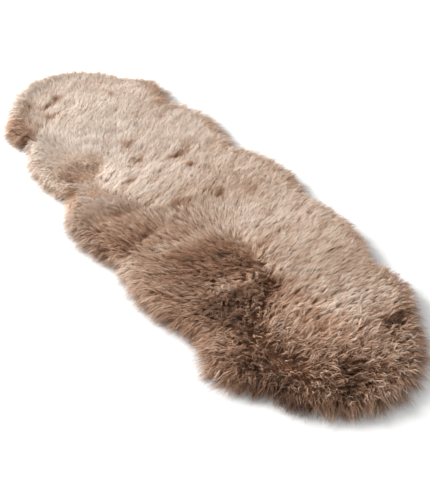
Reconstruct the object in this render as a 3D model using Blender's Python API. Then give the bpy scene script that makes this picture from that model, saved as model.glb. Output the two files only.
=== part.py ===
"""Double sheepskin rug: two long-wool pelts sewn rump to rump, lying flat with the wool up.

Metres, +Z up. +Y runs along the rug, towards the neck of the far pelt, and +X across it.
The hides lie on the plane z = 0. The origin is under the middle of the rug's box.
"""

import math
import random

import bmesh
import bpy
from mathutils import Matrix, Vector, noise

# Wool, as it lies pressed down by its own weight.
PILE_HEIGHT = 0.046
RIM_HEIGHT = 0.032
LOWER_ROW_HEIGHT = 0.014
SHOULDER_WIDTH = 0.070
LUMPS = ((0.115, 0.006), (0.062, 0.0045))  # size across, height

# The trimmed hides. Each lobe of the outline is an ellipse, and the outline is the reach of all.
SIDE_LOBE_HALF_WIDTH = 0.12
NOTCH_SHARPNESS = 26
SPINE_HALF_LENGTH = 0.58
SEAM_GAP = 0.0003

# Locks that hang over the rim and reach the outline.
LOCK_LENGTH = 0.042
LOCK_LENGTH_SPREAD = 0.008
LOCK_TURN_SPREAD = math.radians(7)
LOCK_TIP_SWAY = 0.005
LOCK_FOLLOWS_EDGE = 0.22
LOCK_WAIST_AT = 0.55
LOCK_WAIST_WIDTH = 0.72
LOCK_WAIST_HEIGHT = 0.58
UPPER_WAIST_FLOOR = 0.0125
UPPER_TIP_HEIGHT = 0.010
RANDOM_SEED = 7

# inset from the rim, height: the foot of the rim's wall, its split and its top
RIM_WALL = ((0.0, 0.0), (-0.002, LOWER_ROW_HEIGHT), (0.005, RIM_HEIGHT))

# Steps of the surface: rays leave the spine sideways, and fan round its ends.
SIDE_STEPS = 20
FAN_STEPS = 34
TOP_INSETS = (0.020, 0.044, 0.074)
TOP_SHARES_TO_SPINE = (0.2, 0.4, 0.6, 0.8)

# side (+1 is +X), station along Y, reach from the spine, half length along Y
SIDE_LOBES = (
    (+1, 0.627, 0.291, 0.118),
    (+1, 0.317, 0.315, 0.220),
    (+1, -0.024, 0.343, 0.196),
    (+1, -0.301, 0.329, 0.219),
    (+1, -0.583, 0.289, 0.129),
    (-1, 0.587, 0.292, 0.147),
    (-1, 0.321, 0.315, 0.192),
    (-1, 0.001, 0.336, 0.192),
    (-1, -0.283, 0.313, 0.230),
    (-1, -0.599, 0.298, 0.105),
)

# station along Y, half width across X, half length along Y
NECK_LOBES = (
    (0.555, 0.257, 0.353),
    (-0.526, 0.263, 0.359),
)

# Swells and furrows of the wool: centre x and y, half length, half width, heading from +X, rise
FOLDS = (
    (-0.194, 0.021, 0.130, 0.020, 2, -0.010),
    (-0.249, 0.546, 0.060, 0.022, 50, -0.011),
    (-0.084, 0.711, 0.050, 0.018, 42, -0.007),
    (-0.174, 0.276, 0.075, 0.050, 10, -0.008),
    (-0.014, 0.233, 0.035, 0.018, 45, -0.008),
    (0.091, 0.198, 0.035, 0.018, 8, -0.006),
    (-0.254, 0.176, 0.035, 0.020, 60, -0.007),
    (-0.194, -0.114, 0.100, 0.026, 10, -0.009),
    (-0.094, -0.239, 0.110, 0.050, 5, 0.007),
    (-0.044, -0.285, 0.040, 0.018, 0, -0.009),
    (0.066, -0.309, 0.150, 0.060, -70, 0.005),
    (-0.124, -0.464, 0.080, 0.028, -15, -0.009),
    (-0.174, -0.654, 0.060, 0.035, -10, -0.009),
    (-0.044, -0.789, 0.060, 0.035, 60, -0.008),
    (0.161, -0.694, 0.055, 0.025, 8, -0.014),
    (0.236, 0.561, 0.060, 0.022, 75, -0.007),
    (0.275, 0.301, 0.060, 0.022, 90, -0.006),
    (0.290, -0.100, 0.040, 0.020, 90, -0.007),
    (0.262, -0.434, 0.050, 0.020, 70, -0.006),
)

WOOL_COLOR = (0.42, 0.30, 0.215, 1.0)
WOOL_ROUGHNESS = 0.92


def clear_scene():
    for obj in list(bpy.data.objects):
        bpy.data.objects.remove(obj, do_unlink=True)


def wool_material(name):
    material = bpy.data.materials.new(name)
    material.use_nodes = True
    shader = material.node_tree.nodes["Principled BSDF"]
    shader.inputs["Base Color"].default_value = WOOL_COLOR
    shader.inputs["Roughness"].default_value = WOOL_ROUGHNESS
    shader.inputs["Metallic"].default_value = 0.0
    return material


def reach_of_ellipse(centre, radii, start, direction):
    """How far a ray from start runs before it leaves the ellipse, or 0 where it misses."""
    px = (start.x - centre[0]) / radii[0]
    py = (start.y - centre[1]) / radii[1]
    vx = direction.x / radii[0]
    vy = direction.y / radii[1]
    a = vx * vx + vy * vy
    b = px * vx + py * vy
    inside = b * b - a * (px * px + py * py - 1)
    if inside <= 0:
        return 0.0
    return max(0.0, (math.sqrt(inside) - b) / a)


def outline_reach(start, direction):
    """The reach of the trimmed outline along a ray: the longest lobe, with the notches eased."""
    reaches = []
    for side, station, reach, half_length in SIDE_LOBES:
        centre = (side * (reach - SIDE_LOBE_HALF_WIDTH), station)
        radii = (SIDE_LOBE_HALF_WIDTH, half_length)
        reaches.append(reach_of_ellipse(centre, radii, start, direction))
    for station, half_width, half_length in NECK_LOBES:
        reaches.append(reach_of_ellipse((0, station), (half_width, half_length), start, direction))
    return sum(r**NOTCH_SHARPNESS for r in reaches) ** (1 / NOTCH_SHARPNESS)


def pelt_rays(end):
    """Rays round one pelt, from the seam's right side to its left: (start on the spine, direction)."""
    stations = [
        SEAM_GAP / 2 + (SPINE_HALF_LENGTH - SEAM_GAP / 2) * step / SIDE_STEPS
        for step in range(SIDE_STEPS + 1)
    ]
    neck = Vector((0, end * SPINE_HALF_LENGTH, 0))
    rays = [(Vector((0, end * y, 0)), Vector((1, 0, 0))) for y in stations]
    for step in range(1, FAN_STEPS):
        angle = math.pi * step / FAN_STEPS
        rays.append((neck, Vector((math.cos(angle), end * math.sin(angle), 0))))
    rays += [(Vector((0, end * y, 0)), Vector((-1, 0, 0))) for y in reversed(stations)]
    return rays


def fold_height(x, y):
    """The rise of the swells and furrows at a place, with small lumps between them."""
    rise = sum(height * noise.noise(Vector((x / size, y / size, 0))) for size, height in LUMPS)
    for centre_x, centre_y, half_length, half_width, heading, height in FOLDS:
        turn = math.radians(heading)
        along = (x - centre_x) * math.cos(turn) + (y - centre_y) * math.sin(turn)
        across = (y - centre_y) * math.cos(turn) - (x - centre_x) * math.sin(turn)
        rise += height * math.exp(-((along / half_length) ** 2) - (across / half_width) ** 2)
    return rise


def wool_height(point, inset):
    """The height of the wool over a place that lies inset from the rim."""
    share = min(inset / SHOULDER_WIDTH, 1.0)
    rounded = math.sin(math.pi / 2 * share)
    full = PILE_HEIGHT + fold_height(point.x, point.y)
    return RIM_HEIGHT + (full - RIM_HEIGHT) * rounded


def ray_profile(start, direction, rim):
    """Points from the foot of the rim's wall up and in over the wool, short of the spine."""
    points = [start + direction * (rim - inset) + Vector((0, 0, z)) for inset, z in RIM_WALL]
    last = TOP_INSETS[-1]
    insets = list(TOP_INSETS) + [last + (rim - last) * share for share in TOP_SHARES_TO_SPINE]
    for inset in insets:
        flat = start + direction * (rim - inset)
        points.append(Vector((flat.x, flat.y, wool_height(flat, inset))))
    return points


def build_pelt_surface(bm, rays, rims):
    """The lumpy slab of one pelt. Returns, for each step round the rim, its lower and upper wall face."""
    spine = {}
    columns = []
    for (start, direction), rim in zip(rays, rims):
        columns.append([bm.verts.new(p) for p in ray_profile(start, direction, rim)])
        key = round(start.y, 6)
        if key not in spine:
            top = Vector((start.x, start.y, wool_height(start, rim)))
            spine[key] = bm.verts.new(top)
        columns[-1].append(spine[key])
    walls = []
    for left, right in zip(columns, columns[1:]):
        strip = []
        for k in range(len(left) - 1):
            corners = [left[k], right[k], right[k + 1], left[k + 1]]
            distinct = list(dict.fromkeys(corners))
            strip.append(bm.faces.new(distinct))
        walls.append((strip[0], strip[1]))
    bm.faces.new([column[0] for column in columns])
    seam = columns[0] + list(reversed(columns[-1][:-1]))
    bm.faces.new(seam)
    return walls


def lock_heading(rays, rims, step, shuffle):
    """The level direction of a lock: out along its ray, leaning a little with the rim's edge."""
    (start_a, ray_a), (start_b, ray_b) = rays[step], rays[step + 1]
    out = (ray_a + ray_b).normalized()
    edge = (start_b + ray_b * rims[step + 1]) - (start_a + ray_a * rims[step])
    normal = Vector((edge.y, -edge.x, 0)).normalized()
    if normal.dot(out) < 0:
        normal = -normal
    heading = out.lerp(normal, LOCK_FOLLOWS_EDGE).normalized()
    turn = shuffle.uniform(-LOCK_TURN_SPREAD, LOCK_TURN_SPREAD)
    return Matrix.Rotation(turn, 3, "Z") @ heading


def grow_lock(bm, face, heading, waist_floor, tip_height, shuffle):
    """Draws one wall face out to a narrower waist and then to a point."""
    length = LOCK_LENGTH + shuffle.uniform(-LOCK_LENGTH_SPREAD, LOCK_LENGTH_SPREAD)
    sway = shuffle.uniform(-LOCK_TIP_SWAY, LOCK_TIP_SWAY)
    centre = face.calc_center_median()
    low = min(v.co.z for v in face.verts)
    waist = bmesh.ops.extrude_discrete_faces(bm, faces=[face])["faces"][0]
    for vert in waist.verts:
        across = Vector((vert.co.x - centre.x, vert.co.y - centre.y, 0))
        level = Vector((centre.x, centre.y, 0)) + heading * (length * LOCK_WAIST_AT)
        spot = level + across * LOCK_WAIST_WIDTH
        rise = (vert.co.z - low) * LOCK_WAIST_HEIGHT
        vert.co = Vector((spot.x, spot.y, waist_floor + rise))
    tip = bmesh.ops.poke(bm, faces=[waist])["verts"][0]
    reach = Vector((centre.x, centre.y, 0)) + heading * length
    aside = Vector((-heading.y, heading.x, 0)) * sway
    tip.co = reach + aside + Vector((0, 0, tip_height))


def build_pelt(name, end, seed):
    """One pelt, +1 for the far end and -1 for the near one, as a single closed solid."""
    shuffle = random.Random(seed)
    rays = pelt_rays(end)
    rims = [outline_reach(start, direction) - LOCK_LENGTH for start, direction in rays]
    bm = bmesh.new()
    walls = build_pelt_surface(bm, rays, rims)
    bmesh.ops.recalc_face_normals(bm, faces=bm.faces)
    for step, (lower, upper) in enumerate(walls):
        heading = lock_heading(rays, rims, step, shuffle)
        grow_lock(bm, lower, heading, 0.0, 0.0, shuffle)
        heading = lock_heading(rays, rims, step, shuffle)
        grow_lock(bm, upper, heading, UPPER_WAIST_FLOOR, UPPER_TIP_HEIGHT, shuffle)
    bmesh.ops.triangulate(bm, faces=bm.faces, quad_method="SHORT_EDGE", ngon_method="EAR_CLIP")
    mesh = bpy.data.meshes.new(name)
    bm.to_mesh(mesh)
    bm.free()
    mesh.materials.append(wool_material(name + "_wool"))
    pelt = bpy.data.objects.new(name, mesh)
    bpy.context.scene.collection.objects.link(pelt)
    return pelt


def centre_over_origin(parent, pelts):
    """Moves the rug so that the middle of its box lies over the origin."""
    corners = [vert.co for pelt in pelts for vert in pelt.data.vertices]
    xs = [corner.x for corner in corners]
    ys = [corner.y for corner in corners]
    parent.location = (-(min(xs) + max(xs)) / 2, -(min(ys) + max(ys)) / 2, 0)


def main():
    clear_scene()
    rug = bpy.data.objects.new("rug", None)
    bpy.context.scene.collection.objects.link(rug)
    pelts = [
        build_pelt("far_pelt", +1, RANDOM_SEED),
        build_pelt("near_pelt", -1, RANDOM_SEED + 1),
    ]
    for pelt in pelts:
        pelt.parent = rug
    centre_over_origin(rug, pelts)


main()
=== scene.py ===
import math

import bpy
import numpy as np
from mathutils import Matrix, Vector
from mathutils.bvhtree import BVHTree


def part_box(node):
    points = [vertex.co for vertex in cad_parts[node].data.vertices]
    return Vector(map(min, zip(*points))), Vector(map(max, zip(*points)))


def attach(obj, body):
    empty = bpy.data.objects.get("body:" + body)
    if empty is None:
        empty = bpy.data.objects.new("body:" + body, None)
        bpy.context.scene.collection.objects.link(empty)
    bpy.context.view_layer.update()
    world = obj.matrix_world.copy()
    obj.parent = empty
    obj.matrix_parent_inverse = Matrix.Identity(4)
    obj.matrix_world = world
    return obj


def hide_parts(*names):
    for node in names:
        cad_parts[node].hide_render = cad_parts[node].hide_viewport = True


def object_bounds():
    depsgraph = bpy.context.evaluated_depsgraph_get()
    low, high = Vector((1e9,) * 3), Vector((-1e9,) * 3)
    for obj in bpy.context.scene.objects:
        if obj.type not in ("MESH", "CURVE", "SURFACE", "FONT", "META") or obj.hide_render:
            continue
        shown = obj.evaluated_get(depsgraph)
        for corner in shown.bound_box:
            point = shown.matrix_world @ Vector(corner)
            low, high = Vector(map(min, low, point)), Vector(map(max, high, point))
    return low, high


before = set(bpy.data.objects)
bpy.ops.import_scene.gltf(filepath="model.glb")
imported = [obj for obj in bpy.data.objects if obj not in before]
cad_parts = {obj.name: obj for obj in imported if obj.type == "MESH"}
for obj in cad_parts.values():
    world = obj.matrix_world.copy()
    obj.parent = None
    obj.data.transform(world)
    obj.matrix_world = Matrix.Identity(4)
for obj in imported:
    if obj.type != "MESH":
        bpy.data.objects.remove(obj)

# Double sheepskin rug: two hides, the dense undercoat that stands on them, and the long wool over it.
# Metres, as in the frame. The rug lies on z = 0, runs along Y, and its wool points up and out.

cadLow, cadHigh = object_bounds()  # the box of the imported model
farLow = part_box("far_pelt")[0]
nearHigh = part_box("near_pelt")[1]

rug = {
    "spineX": -0.006,
    "seamY": (farLow.y + nearHigh.y) / 2,
    "spineHalf": 0.58,
    "lobeHalfWidth": 0.12,
    "notchSharpness": 26,
    "overhang": 0.042,  # wool that reaches past the hide's edge
    # what the wool adds to that: station along Y, at the near left, at the far right
    "fuller": (
        (-0.9, 0.018, 0.014), (-0.75, 0.016, 0.012), (-0.6, 0.013, 0.008), (-0.45, 0.009, 0.006),
        (-0.15, 0.007, 0.013), (0.05, 0.009, 0.021), (0.2, 0.001, 0.015), (0.35, 0.004, 0.032),
        (0.6, 0.007, 0.033), (0.9, 0.016, 0.038),
    ),
    "farRight": (0.53, 0.85),  # the way that counts as far right
    "turnsFar": (-0.35, 0.50),  # from near left to far right, along that way
    "rimBlend": (0.020, 0.055),  # in from the edge, where the rim's profile gives way to the solids
    "cell": 0.008,  # step of the height map read from the solids
    "rayAside": 0.001,  # rays go down in pairs, since one alone can fall into the seam's gap
    "skinGap": 0.0005,  # from each skin to the middle of the seam
    "hideThickness": 0.002,
    "threadRoom": 0.0008,  # between the floor and the hide, where the seam's thread runs
}

# side, station along the spine, reach from it, half length
sideLobes = (
    (+1, 0.627, 0.291, 0.118), (+1, 0.317, 0.315, 0.22), (+1, -0.024, 0.343, 0.196),
    (+1, -0.301, 0.329, 0.219), (+1, -0.583, 0.289, 0.129), (-1, 0.587, 0.292, 0.147),
    (-1, 0.321, 0.315, 0.192), (-1, 0.001, 0.336, 0.192), (-1, -0.283, 0.313, 0.23),
    (-1, -0.599, 0.298, 0.105),
)
# station along the spine, half width, half length
neckLobes = (
    (0.555, 0.257, 0.353), (-0.526, 0.263, 0.359),
)


def deselectAll():
    if bpy.context.object and bpy.context.object.mode != "OBJECT":
        bpy.ops.object.mode_set(mode="OBJECT")
    bpy.ops.object.select_all(action="DESELECT")


def smoothStep(value, low, high):
    share = np.clip((value - low) / (high - low), 0, 1)
    return share * share * (3 - 2 * share)


def alongStations(y, stations):
    return np.interp(y, [s[0] for s in stations], [s[1] for s in stations])


def wobble(x, y, size, seed):  # a smooth uneven field between about -1 and 1
    draw = np.random.default_rng(seed)
    total = np.zeros_like(x)
    for _ in range(8):
        angle = draw.uniform(0, 2 * math.pi)
        wave = 2 * math.pi / size * draw.uniform(0.6, 1.5)
        shift = draw.uniform(0, 2 * math.pi)
        total += np.sin((x * math.cos(angle) + y * math.sin(angle)) * wave + shift)
    return total / 3


# Adds up patches: place, half length, half width, heading in degrees, crispness of the edge, change.
def patchSum(x, y, patches):
    total = np.zeros_like(x)
    for cx, cy, halfLength, halfWidth, heading, crispness, change in patches:
        turn = math.radians(heading)
        along = (x - cx) * math.cos(turn) + (y - cy) * math.sin(turn)
        across = (y - cy) * math.cos(turn) - (x - cx) * math.sin(turn)
        out = (along / halfLength) ** 2 + (across / halfWidth) ** 2
        total += change * np.exp(-(out**crispness))
    return total


# How far a ray from the spine at sy, along (ux, uy), runs before it leaves an ellipse.
def ellipseReach(sy, ux, uy, cx, cy, rx, ry):
    px = -cx / rx
    py = (sy - cy) / ry
    vx = ux / rx
    vy = uy / ry
    a = vx * vx + vy * vy
    b = px * vx + py * vy
    inside = np.maximum(b * b - a * (px * px + py * py - 1), 0)
    hit = (np.sqrt(inside) - b) / a
    return np.where((inside > 0) & (hit > 0), hit, 0)


# Each place is seen from the nearest point of the spine: the way out, and how far in from the hide's edge
# it lies.
def seenFromSpine(x, y):
    px = x - rug["spineX"]
    py = y - rug["seamY"]
    sy = np.clip(py, -rug["spineHalf"], rug["spineHalf"])
    away = np.maximum(np.hypot(px, py - sy), 1e-6)
    ux = px / away
    uy = (py - sy) / away
    sharp = rug["notchSharpness"]
    total = np.zeros_like(away)
    for side, station, reach, halfLength in sideLobes:
        middle = side * (reach - rug["lobeHalfWidth"])
        total += ellipseReach(sy, ux, uy, middle, station, rug["lobeHalfWidth"], halfLength) ** sharp
    for station, halfWidth, halfLength in neckLobes:
        total += ellipseReach(sy, ux, uy, 0, station, halfWidth, halfLength) ** sharp
    inset = total ** (1 / sharp) - rug["overhang"] - away
    return ux, uy, inset


def readTops():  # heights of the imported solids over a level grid
    trees = []
    for node in ("far_pelt", "near_pelt"):
        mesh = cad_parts[node].data
        corners = [v.co for v in mesh.vertices]
        trees.append(BVHTree.FromPolygons(corners, [p.vertices for p in mesh.polygons]))
    xs = np.arange(cadLow.x, cadHigh.x + rug["cell"], rug["cell"])
    ys = np.arange(cadLow.y, cadHigh.y + rug["cell"], rug["cell"])
    tops = np.zeros((len(ys), len(xs)))
    down = Vector((0, 0, -1))
    for row, y in enumerate(ys):
        for column, x in enumerate(xs):
            starts = [Vector((x, y + aside, 1)) for aside in (-rug["rayAside"], rug["rayAside"])]
            hits = [tree.ray_cast(start, down)[0] for tree in trees for start in starts]
            tops[row, column] = max([hit.z for hit in hits if hit] + [0])
    return tops


woolTops = readTops()
print("heights read from the solids")

# place in from the hide's edge as a share of the overhang, height of the wool there: near left, far right
rimProfile = (
    (-1.25, 0.002, 0.006), (-1.08, 0.006, 0.017), (-0.95, 0.012, 0.027), (-0.7, 0.021, 0.035),
    (-0.3, 0.031, 0.041), (0.1, 0.039, 0.044), (0.6, 0.043, 0.046), (1.1, 0.046, 0.047),
)


# How far the wool turns towards the far right there, from 0 to 1, and its reach past the hide's edge.
def rimReach(y, ux, uy):
    away = smoothStep(rug["farRight"][0] * ux + rug["farRight"][1] * uy, *rug["turnsFar"])
    low, high = (alongStations(y, [(row[0], row[side]) for row in rug["fuller"]]) for side in (1, 2))
    return away, rug["overhang"] + low * (1 - away) + high * away


def rimHeight(share, away):
    low, high = (alongStations(share, [(row[0], row[side]) for row in rimProfile]) for side in (1, 2))
    return low * (1 - away) + high * away


# Creases and pits that are finer than the solids' folds. The change is a height.
creases = (
    (-0.262, 0.52, 0.036, 0.012, 35, 1, -0.012), (-0.285, 0.565, 0.03, 0.007, 150, 1, -0.007),
    (-0.27, 0.6, 0.034, 0.007, 120, 1, -0.006), (-0.165, 0.72, 0.03, 0.01, 110, 1, -0.006),
    (-0.105, 0.68, 0.022, 0.008, 28, 1, -0.009), (-0.065, 0.715, 0.02, 0.009, 60, 1, -0.009),
    (-0.135, 0.6, 0.014, 0.01, 60, 1, -0.006), (0.1, 0.643, 0.016, 0.008, 60, 1, -0.006),
    (-0.005, 0.32, 0.018, 0.014, 60, 1, -0.005), (-0.182, 0.262, 0.068, 0.05, 8, 6, -0.009),
    (-0.022, 0.222, 0.026, 0.007, 45, 1, -0.012), (0.085, 0.187, 0.026, 0.009, 6, 1, -0.008),
    (-0.085, 0.135, 0.016, 0.007, 30, 1, -0.008), (0.095, 0.115, 0.008, 0.007, 0, 1, -0.009),
    (0.137, 0.07, 0.022, 0.006, 50, 1, -0.006), (-0.26, 0.165, 0.026, 0.011, 60, 1, -0.008),
    (0.24, 0.155, 0.014, 0.008, 20, 1, -0.006), (-0.19, 0.005, 0.07, 0.01, 2, 1, -0.007),
    (-0.02, -0.035, 0.04, 0.01, -8, 1, -0.005), (0.09, -0.055, 0.022, 0.009, 40, 1, -0.008),
    (0.185, -0.085, 0.024, 0.008, 60, 1, -0.005), (-0.248, -0.14, 0.022, 0.009, 5, 1, -0.009),
    (-0.172, -0.112, 0.022, 0.01, 30, 1, -0.008), (-0.3, -0.1, 0.02, 0.012, 70, 1, -0.007),
    (0.14, -0.217, 0.016, 0.006, 20, 1, -0.005), (-0.05, -0.296, 0.026, 0.008, 0, 1, -0.012),
    (0.045, -0.322, 0.03, 0.006, 25, 1, -0.005), (0.215, -0.43, 0.022, 0.007, 15, 1, -0.006),
    (-0.11, -0.44, 0.03, 0.01, 20, 1, -0.007), (-0.15, -0.48, 0.034, 0.01, 0, 1, -0.009),
    (0.004, -0.437, 0.018, 0.01, 90, 1, -0.006), (0.155, -0.7, 0.036, 0.009, 6, 2, -0.014),
    (0.115, -0.745, 0.04, 0.008, 75, 1, -0.006), (-0.195, -0.648, 0.024, 0.012, -15, 1, -0.01),
    (-0.12, -0.69, 0.03, 0.009, 60, 1, -0.008), (-0.165, -0.74, 0.03, 0.01, 15, 1, -0.007),
    (-0.035, -0.768, 0.026, 0.011, -10, 1, -0.009), (-0.085, -0.825, 0.03, 0.014, 20, 1, -0.009),
    (0.09, -0.815, 0.03, 0.009, 20, 1, -0.006),
)


def woolTop(x, y, ux, uy, inset):  # the surface that the wool's tips lie in
    column = np.clip((x - cadLow.x) / rug["cell"], 0, woolTops.shape[1] - 1.001)
    row = np.clip((y - cadLow.y) / rug["cell"], 0, woolTops.shape[0] - 1.001)
    c0 = column.astype(int)
    r0 = row.astype(int)
    fc = column - c0
    fr = row - r0
    low = woolTops[r0, c0] * (1 - fc) + woolTops[r0, c0 + 1] * fc
    high = woolTops[r0 + 1, c0] * (1 - fc) + woolTops[r0 + 1, c0 + 1] * fc
    inner = low * (1 - fr) + high * fr + patchSum(x, y, creases)
    away, reach = rimReach(y, ux, uy)
    rim = rimHeight(inset / reach, away)
    share = smoothStep(inset, *rug["rimBlend"])
    return rim * (1 - share) + inner * share


# Strokes of the comb: place, and the heading that the wool lies in there, in degrees from +X.
napStrokes = (
    (0, 0.86, 75), (-0.12, 0.8, 112), (0.12, 0.78, 39), (-0.2, 0.74, 60), (-0.08, 0.73, 40),
    (0.02, 0.73, 48), (0.15, 0.7, 28),
    (-0.2, 0.67, 85), (-0.12, 0.67, 26), (-0.03, 0.66, 50), (0.07, 0.66, 38), (0.17, 0.62, 28),
    (-0.25, 0.58, 135), (-0.2, 0.58, 76), (-0.1, 0.58, 4), (-0.02, 0.57, 16), (0.08, 0.56, 24),
    (0.18, 0.54, 22),
    (-0.29, 0.52, 165), (-0.24, 0.53, 190), (-0.2, 0.51, 22), (-0.12, 0.51, 40), (-0.05, 0.5, 45),
    (0.04, 0.5, 42), (0.15, 0.48, 20),
    (-0.27, 0.45, 155), (-0.21, 0.44, 120), (-0.14, 0.44, 60), (-0.08, 0.44, 56), (0, 0.43, 38),
    (0.1, 0.42, 36), (0.2, 0.42, 22),
    (-0.28, 0.38, 165), (-0.21, 0.38, 135), (-0.13, 0.38, 60), (-0.05, 0.38, 50), (0.05, 0.37, 34),
    (0.15, 0.36, 32), (0.24, 0.36, 20),
    (-0.29, 0.31, 168), (-0.21, 0.35, 150), (-0.15, 0.35, 80), (-0.14, 0.29, 205), (-0.08, 0.32, 45),
    (0, 0.31, 22), (0.08, 0.31, 28), (0.18, 0.3, 33),
    (-0.29, 0.25, 165), (-0.22, 0.26, 205), (-0.17, 0.26, 205), (-0.11, 0.25, 24), (-0.03, 0.25, 4),
    (0.06, 0.25, 24), (0.15, 0.25, 33), (0.25, 0.24, 22),
    (-0.28, 0.18, 148), (-0.21, 0.19, 175), (-0.15, 0.19, 0), (-0.08, 0.18, 6), (0, 0.19, 28),
    (0.08, 0.18, 10), (0.17, 0.18, 24), (0.25, 0.16, 16),
    (-0.28, 0.12, 160), (-0.21, 0.12, 172), (-0.15, 0.12, 8), (-0.07, 0.12, 18), (0.02, 0.12, 10),
    (0.1, 0.12, 32), (0.2, 0.12, 14),
    (-0.29, 0.06, 138), (-0.23, 0.05, 130), (-0.17, 0.05, 165), (-0.12, 0.05, -6), (-0.05, 0.05, 14),
    (0.03, 0.05, 14), (0.12, 0.05, 34), (0.22, 0.04, 20),
    (-0.3, -0.02, 120), (-0.23, -0.02, 122), (-0.16, -0.02, 140), (-0.09, -0.02, -4), (-0.03, -0.03, 10),
    (0.05, -0.02, 4), (0.14, -0.02, 28), (0.24, -0.02, 18),
    (-0.3, -0.08, 128), (-0.22, -0.08, 158), (-0.15, -0.08, 125), (-0.08, -0.08, 115), (-0.02, -0.08, 72),
    (0.05, -0.08, 42), (0.13, -0.08, 18), (0.23, -0.1, 18),
    (-0.3, -0.15, 140), (-0.24, -0.14, 150), (-0.17, -0.14, 122), (-0.1, -0.14, 112), (-0.03, -0.14, 93),
    (0.04, -0.13, 66), (0.1, -0.15, 28), (0.2, -0.17, 14),
    (-0.22, -0.2, 142), (-0.14, -0.2, 148), (-0.08, -0.2, 120), (-0.02, -0.19, 92), (0.04, -0.2, 24),
    (-0.28, -0.26, 140), (-0.21, -0.26, 158), (-0.14, -0.26, 150), (-0.08, -0.25, 128), (-0.03, -0.24, 112),
    (-0.02, -0.29, 176), (0.035, -0.25, 12),
    (-0.25, -0.32, 127), (-0.18, -0.32, 155), (-0.12, -0.32, 165), (-0.06, -0.33, 180), (-0.02, -0.34, 196),
    (0.03, -0.33, 8), (0.1, -0.3, 10), (0.2, -0.28, 8),
    (-0.24, -0.38, 142), (-0.17, -0.39, 168), (-0.1, -0.39, 196), (-0.03, -0.39, 203), (0.03, -0.39, 4),
    (0.12, -0.38, 6), (0.22, -0.38, 6),
    (-0.25, -0.45, 172), (-0.18, -0.45, 185), (-0.11, -0.45, 205), (-0.04, -0.44, 210), (0.015, -0.46, 4),
    (0.1, -0.46, 2), (0.2, -0.48, -2),
    (-0.22, -0.5, 162), (-0.15, -0.5, 194), (-0.1, -0.5, 200), (-0.05, -0.52, -2), (0.02, -0.52, -4),
    (0.12, -0.54, -6), (0.22, -0.56, -12),
    (-0.24, -0.57, 152), (-0.17, -0.56, 182), (-0.1, -0.57, -14), (-0.03, -0.58, -8), (0.06, -0.6, -12),
    (0.16, -0.62, -14),
    (-0.25, -0.64, 190), (-0.18, -0.64, 186), (-0.12, -0.63, -12), (-0.04, -0.65, -10), (0.05, -0.67, -12),
    (0.14, -0.68, -16),
    (-0.24, -0.7, 205), (-0.17, -0.71, 204), (-0.1, -0.71, -24), (-0.02, -0.72, -14), (0.08, -0.73, -14),
    (0.16, -0.75, -40),
    (-0.18, -0.77, 228), (-0.1, -0.78, 244), (-0.02, -0.78, -50), (0.06, -0.79, -34), (-0.05, -0.84, 262),
    (0.06, -0.84, -55),
)
nap = {
    "reach": 0.028,  # how far one stroke is felt
    "afar": (2e-5, 0.003),  # and how weakly beyond that
    "fansFrom": 0.058,  # nearer to the rim than this, wool turns outwards
    "fansUneven": (0.25, 0.09),  # share and size
    "sway": 0.18,
    "swaySize": 0.075,
    "lies": 0.75,  # how far strokes have to agree for wool to lie flat
    "leastLay": 0.50,  # share of its length that standing wool still reaches out
    "tangled": 0.35,  # turn of locks where the strokes part the wool
}


def napHeading(x, y, inset, ux, uy):
    hx = np.zeros_like(x)
    hy = np.zeros_like(x)
    total = np.zeros_like(x)
    pull, ease = nap["afar"]
    for strokeX, strokeY, heading in napStrokes:
        apart = (x - strokeX) ** 2 + (y - strokeY) ** 2
        weight = np.exp(-apart / (2 * nap["reach"] ** 2)) + pull / (apart + ease)
        hx += weight * math.cos(math.radians(heading))
        hy += weight * math.sin(math.radians(heading))
        total += weight
    length = np.maximum(np.hypot(hx, hy), 1e-6)
    lying = smoothStep(length / total, 0.0, nap["lies"])  # wool stands up where the strokes part it
    share, size = nap["fansUneven"]
    fansFrom = nap["fansFrom"] * (1 + share * wobble(x, y, size, 12))
    out = 1 - smoothStep(inset, -0.01, fansFrom)
    hx = hx / length * (1 - out) + ux * out
    hy = hy / length * (1 - out) + uy * out
    length = np.maximum(np.hypot(hx, hy), 1e-6)
    hx, hy = turned(hx / length, hy / length, nap["sway"] * wobble(x, y, nap["swaySize"], 11))
    return hx, hy, np.maximum(lying, out)


def turned(hx, hy, turn):
    return hx * np.cos(turn) - hy * np.sin(turn), hx * np.sin(turn) + hy * np.cos(turn)


# Tone along the rug: station, tone of the wool from 0, deep brown, to 1, pale beige; partly the wool's own
# tone and partly painted light and shade of the way it lies.
toneAndShadeStations = (
    (-0.9, 0.5), (-0.78, 0.52), (-0.68, 0.62), (-0.6, 0.62), (-0.5, 0.57), (-0.4, 0.62), (-0.3, 0.66),
    (-0.2, 0.68), (-0.1, 0.62), (0, 0.6), (0.12, 0.66), (0.4, 0.66), (0.9, 0.66),
)
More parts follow.
